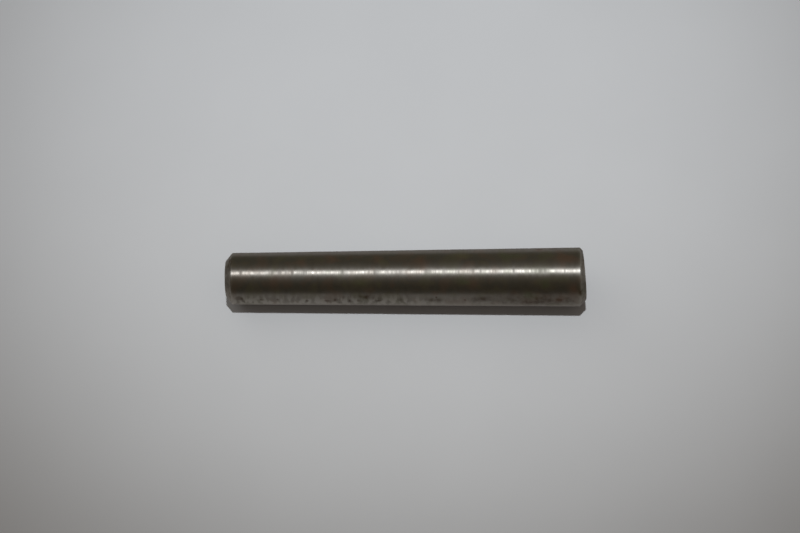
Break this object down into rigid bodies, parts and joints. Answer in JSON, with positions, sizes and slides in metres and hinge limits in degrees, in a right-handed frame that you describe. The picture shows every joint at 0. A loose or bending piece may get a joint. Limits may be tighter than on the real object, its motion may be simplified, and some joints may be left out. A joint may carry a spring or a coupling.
{
  "type": "taper pin",
  "caption": "Plain solid steel taper pin: a long cone of slight taper with chamfered ends, driven into a reamed taper hole to lock or align two parts.",
  "frame": {"origin": "centre of the small end's flat face, on which the pin stands", "axes": "+Z along the pin's axis from the small end to the large end; +X towards the side where the large end's face is highest"},
  "size_m": [0.0104, 0.0104, 0.0635],
  "materials": {
    "steel": "ground bright steel darkened by age and oil, faintly stained brown, with fine marks round it and small pits"
  },
  "bodies": {
    "root": {"taper_pin": "steel"}
  },
  "joints": []
}
